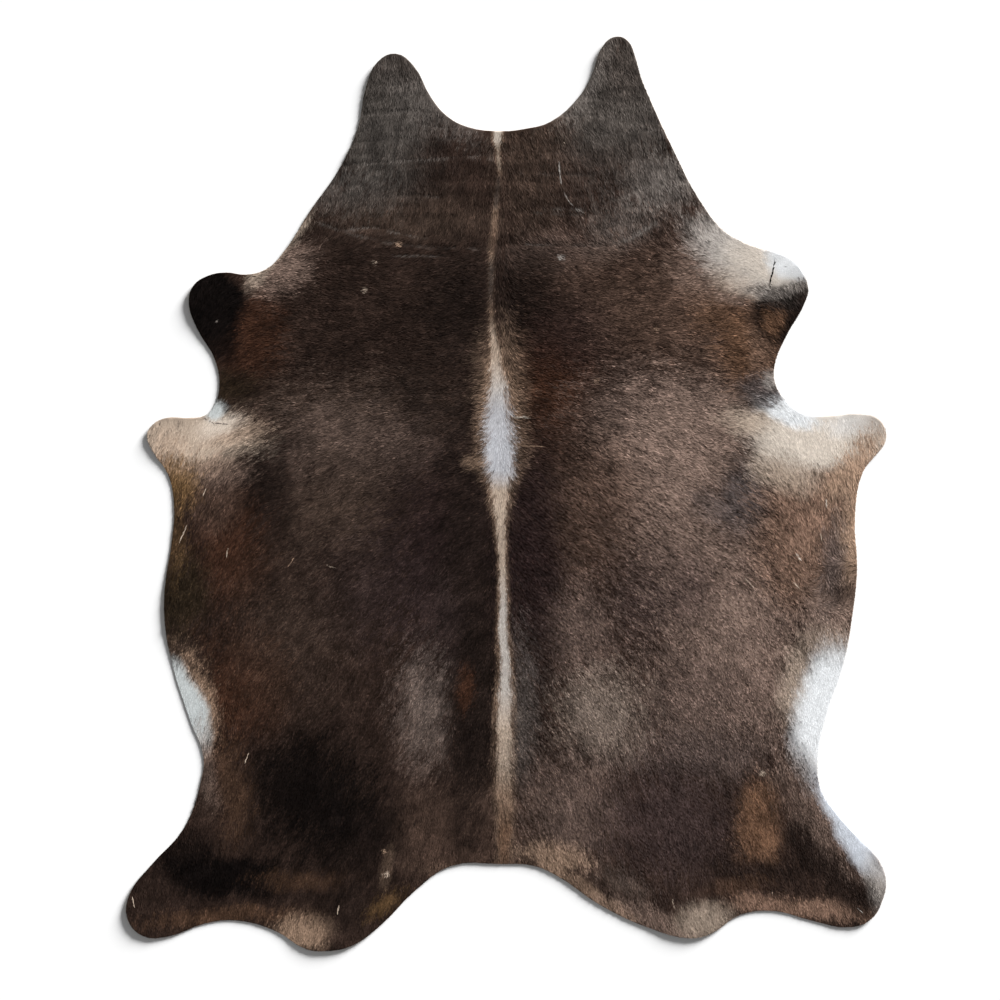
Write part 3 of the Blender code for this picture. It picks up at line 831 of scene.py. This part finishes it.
def joined_locks(name, mine):
    """One mesh of the chosen locks, with their colours, root-to-tip shares and a map seen from above."""
    u = (LOCK_POINTS[:, 0] + 1) / 2
    u = np.where(np.abs(LOCK_POINTS[:, 1]) > 0.5, MIDDLE_AT, u)
    v = LOCK_POINTS[:, 1]
    run, side = lie[mine], turned(lie[mine], math.pi / 2)
    flat = roots[mine][:, None] + run[:, None] * (u * length[mine, None])[:, :, None]
    flat = flat + side[:, None] * (v / 2 * width[mine, None])[:, :, None]
    rise = np.interp(u, (0, MIDDLE_AT, 1), (0, MIDDLE_LIFT, 1))
    z = heights[mine, None] - ROOT_SUNK + lift[mine, None] * rise
    z = z + v / 2 * width[mine, None] * roll[mine, None]
    points = np.concatenate([flat, z[:, :, None]], 2).reshape(-1, 3)
    faces = (np.arange(len(mine))[:, None, None] * len(u) + LOCK_FACES).reshape(-1, 3)
    mesh = bpy.data.meshes.new(name)
    mesh.vertices.add(len(points))
    mesh.vertices.foreach_set("co", points.astype(np.float32).ravel())
    mesh.loops.add(faces.size)
    mesh.loops.foreach_set("vertex_index", faces.astype(np.int32).ravel())
    mesh.polygons.add(len(faces))
    mesh.polygons.foreach_set("loop_start", np.arange(0, faces.size, 3, dtype=np.int32))
    mesh.update(calc_edges=True)
    store_colours(mesh, "coat", np.repeat(colours[mine], len(u), axis=0))
    share = mesh.attributes.new("along", "FLOAT", "POINT")
    share.data.foreach_set("value", np.tile(u, len(mine)).astype(np.float32))
    low, high = points[:, :2].min(0), points[:, :2].max(0)
    corners = ((points[:, :2] - low) / (high - low))[faces.ravel()]
    mesh.uv_layers.new(name=BAKE_MAP).uv.foreach_set("vector", corners.astype(np.float32).ravel())
    locks = bpy.data.objects.new(name, mesh)
    bpy.context.scene.collection.objects.link(locks)
    print(name, "has", len(faces), "triangles")
    return locks


PARTS = (
    ("neck", roots[:, 1] >= NECK_FROM),
    ("flank", (roots[:, 1] < NECK_FROM) & (roots[:, 1] >= RUMP_BELOW)),
    ("rump", roots[:, 1] < RUMP_BELOW),
)
SIDES = (("left", roots[:, 0] < SPINE_X), ("right", roots[:, 0] >= SPINE_X))
hair = [
    joined_locks(f"hair_{part}_{side}", np.flatnonzero(in_part & on_side))
    for part, in_part in PARTS
    for side, on_side in SIDES
]

# %% [markdown]
# ## Shader maths as Python
# A material is a network of nodes, and a long formula takes many of them. The small class below wraps a
# socket, so that an ordinary Python expression adds the nodes: a + b makes a Math node and gives its output
# back. Any other node comes from one method that takes its type, its settings and what its sockets are fed.

# %% A number that changes over the surface
class Number:
    """Wraps a socket, so that Python's signs add Math nodes."""

    def __init__(self, finish, socket):
        self.finish, self.socket = finish, socket

    def reckon(self, operation, first, second):
        made = self.finish.node("ShaderNodeMath", {"operation": operation}, {0: first, 1: second})
        return Number(self.finish, made)

    def __add__(self, other):
        return self.reckon("ADD", self, other)

    def __sub__(self, other):
        return self.reckon("SUBTRACT", self, other)

    def __rsub__(self, other):
        return self.reckon("SUBTRACT", other, self)

    def __mul__(self, other):
        return self.reckon("MULTIPLY", self, other)

    __radd__ = __add__
    __rmul__ = __mul__


# %% A finish, and its nodes
class Finish:
    """A material whose nodes are added one by one."""

    def __init__(self, name, roughness, gloss):
        self.material = bpy.data.materials.new(name)
        self.material.use_nodes = True
        self.tree = self.material.node_tree
        self.shader = self.tree.nodes["Principled BSDF"]
        self.shader.inputs["Roughness"].default_value = roughness
        self.shader.inputs["Specular IOR Level"].default_value = gloss

    def node(self, kind, settings, fed, output=0):
        """A new node: its settings first, and then the values or links of its sockets. Gives one output."""
        made = self.tree.nodes.new(kind)
        for key, value in settings.items():
            setattr(made, key, value)
        for key, value in fed.items():
            value = getattr(value, "socket", value)
            if isinstance(value, bpy.types.NodeSocket):
                self.tree.links.new(value, made.inputs[key])
            else:
                made.inputs[key].default_value = value
        return made.outputs[output]

    def feed(self, name, value):
        self.tree.links.new(getattr(value, "socket", value), self.shader.inputs[name])

    def noise(self, scale, detail=3.0):
        """Noise from 0 to 1 over Object coordinates, with about scale hills in a metre."""
        places = self.node("ShaderNodeTexCoord", {}, {}, "Object")
        fed = {"Vector": places, "Scale": scale, "Detail": detail}
        return Number(self, self.node("ShaderNodeTexNoise", {}, fed))

    def attribute(self, name, output):
        return self.node("ShaderNodeAttribute", {"attribute_name": name}, {}, output)

    def scaled(self, colour, amount):
        """A colour made lighter or darker by a number."""
        return self.node("ShaderNodeVectorMath", {"operation": "SCALE"}, {0: colour, "Scale": amount})

    def no_brighter(self, colour, most):
        """A colour whose channels go no higher than most."""
        limit = (most, most, most)
        return self.node("ShaderNodeVectorMath", {"operation": "MINIMUM"}, {0: colour, 1: limit})

    def mixed(self, share, first, second):
        """The first colour where share is 0 and the second where it is 1: sockets 6 and 7 of a Mix node."""
        return self.node("ShaderNodeMix", {"data_type": "RGBA"}, {0: share, 6: first, 7: second}, 2)

    def bump(self, height, distance):
        fed = {"Height": height, "Distance": distance, "Strength": 1.0}
        self.feed("Normal", self.node("ShaderNodeBump", {}, fed))


# %% [markdown]
# ## The finishes
# Hair is darker at its root, painted shade where its neighbours shade it, and paler and a little glossier
# towards its tip, partly its own paler tips and partly painted sheen. The coat attribute gives its colour and
# the root-to-tip share its depth. The skin between the locks wears the same coat, painted a little darker as
# the shade under the locks, and dull. The underside is the flesh side, which is left bare on such a rug: pale
# suede, with a short felt-like nap, faint clouds of colour from the tanning, and a few smoother, darker
# stretches.

# %% The hair's finish
# Painted shade at the root and painted sheen at the tip: the coat is scaled by the first number at the root
# and by the second at the tip.
ROOT_SHADE, TIP_SHEEN = 0.62, 1.40
UNEVEN, UNEVEN_HILLS = 0.2, 220.0
ROUGH_ROOT, SMOOTHER_TIP = 0.68, 0.16
ROUGH_PLACES, ROUGH_HILLS = 0.08, 30.0
PALEST = 0.90

hair_finish = Finish("short_cattle_hair", roughness=ROUGH_ROOT, gloss=0.02)
along = Number(hair_finish, hair_finish.attribute("along", "Fac"))
shade = ROOT_SHADE + (TIP_SHEEN - ROOT_SHADE) * along
uneven = (1 - UNEVEN / 2) + UNEVEN * hair_finish.noise(UNEVEN_HILLS)
hair_tone = hair_finish.scaled(hair_finish.attribute("coat", "Color"), shade * uneven)
hair_finish.feed("Base Color", hair_finish.no_brighter(hair_tone, PALEST))
rough_places = ROUGH_PLACES * hair_finish.noise(ROUGH_HILLS)
hair_finish.feed("Roughness", ROUGH_ROOT - SMOOTHER_TIP * along + rough_places)
for locks in hair:
    locks.data.materials.append(hair_finish.material)

# %% The finish of the skin under the hair
# Painted shade: the skin between the locks is painted a little darker than the coat above it.
SKIN_SHADE, SKIN_GRAIN = 0.75, 0.35
GRAIN_HILLS, GRAIN_DEPTH = 500.0, 0.0006

scalp_finish = Finish("skin_under_the_hair", roughness=0.8, gloss=0.0)
grain = scalp_finish.noise(GRAIN_HILLS, detail=4.0)
scalp_tone = scalp_finish.scaled(scalp_finish.attribute("coat", "Color"), SKIN_SHADE + SKIN_GRAIN * grain)
scalp_finish.feed("Base Color", scalp_finish.no_brighter(scalp_tone, PALEST))
scalp_finish.bump(grain, GRAIN_DEPTH)

# %% The finish of the underside
SUEDE, SUEDE_DARK = (0.50, 0.42, 0.33, 1.0), (0.33, 0.26, 0.19, 1.0)
CLOUD_HILLS, FIBRE_HILLS = 5.0, 420.0
CLOUD_SHARE, FIBRE_SHARE, DARKER = 0.9, 0.5, 0.2
SUEDE_ROUGH, FIBRE_ROUGH = 0.82, 0.14
FIBRE_DEPTH = 0.0008

flesh_finish = Finish("flesh_side_suede", roughness=SUEDE_ROUGH, gloss=0.1)
clouds = flesh_finish.noise(CLOUD_HILLS, detail=6.0)
fibres = flesh_finish.noise(FIBRE_HILLS, detail=5.0)
mottled = clouds * CLOUD_SHARE + fibres * FIBRE_SHARE - DARKER
flesh_finish.feed("Base Color", flesh_finish.mixed(mottled, SUEDE_DARK, SUEDE))
flesh_finish.feed("Roughness", SUEDE_ROUGH + FIBRE_ROUGH * fibres)
flesh_finish.bump(fibres, FIBRE_DEPTH)

skin_mesh.materials.append(scalp_finish.material)
skin_mesh.materials.append(flesh_finish.material)
for face in skin_mesh.polygons:
    face.material_index = int(face.normal.z < FACING)
suede_faces = sum(face.material_index for face in skin_mesh.polygons)
print(suede_faces, "faces of the underside and the rim are bare suede")

# %% Say what each piece is
for piece in [hide, *hair]:
    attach(piece, "root")
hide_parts("hide")

# %% [markdown]
# ## The studio
# The rug is shown from straight above on a white floor. One soft lamp stands low at the upper right, so a
# narrow shadow falls along the left and lower edges, and an even white surrounding fills the rest.

# %% Floor and light
FLOOR_SIZE = 12.0
FLOOR_WHITE = (0.77, 0.77, 0.77, 1.0)
SKY_WHITE = (1.0, 1.0, 1.0, 1.0)
SKY_STRENGTH = 0.25
LAMP_STRENGTH = 11.7
LAMP_SOFTNESS = 24
# The lamp's height over the horizon and its turn about the rug, in degrees.
LAMP_HEIGHT, LAMP_TURN = 17, 138

floor_bm = bmesh.new()
bmesh.ops.create_grid(floor_bm, x_segments=1, y_segments=1, size=FLOOR_SIZE / 2)
floor_mesh = bpy.data.meshes.new("studio_floor")
floor_bm.to_mesh(floor_mesh)
floor_bm.free()
floor = bpy.data.objects.new("studio_floor", floor_mesh)
bpy.context.scene.collection.objects.link(floor)
floor_finish = Finish("white_floor", roughness=0.9, gloss=0.1)
floor_finish.shader.inputs["Base Color"].default_value = FLOOR_WHITE
floor_mesh.materials.append(floor_finish.material)

world = bpy.data.worlds.new("studio")
world.use_nodes = True
sky = world.node_tree.nodes["Background"]
sky.inputs["Color"].default_value = SKY_WHITE
sky.inputs["Strength"].default_value = SKY_STRENGTH
bpy.context.scene.world = world

lamp_data = bpy.data.lights.new("soft_lamp", "SUN")
lamp_data.energy = LAMP_STRENGTH
lamp_data.angle = math.radians(LAMP_SOFTNESS)
lamp = bpy.data.objects.new("soft_lamp", lamp_data)
lamp.rotation_euler = (math.radians(90 - LAMP_HEIGHT), 0, math.radians(LAMP_TURN))
bpy.context.scene.collection.objects.link(lamp)
towards_lamp = lamp.rotation_euler.to_matrix() @ Vector((0, 0, 1))
print("the lamp stands towards", [round(x, 2) for x in towards_lamp])

# %% Camera straight above, far off and with a long lens
FRAME_WIDTH = 2.4617
FRAME_MIDDLE = (-0.0148, -0.0148)
LENS, SENSOR = 150.0, 36.0
SEES_AS_FAR_AS = 100.0

camera_data = bpy.data.cameras.new("camera")
camera_data.lens, camera_data.sensor_width = LENS, SENSOR
camera_data.clip_end = SEES_AS_FAR_AS
camera = bpy.data.objects.new("camera", camera_data)
camera.location = (*FRAME_MIDDLE, FRAME_WIDTH * LENS / SENSOR)
bpy.context.scene.collection.objects.link(camera)
bpy.context.scene.camera = camera
bpy.context.scene.view_settings.view_transform = "Standard"
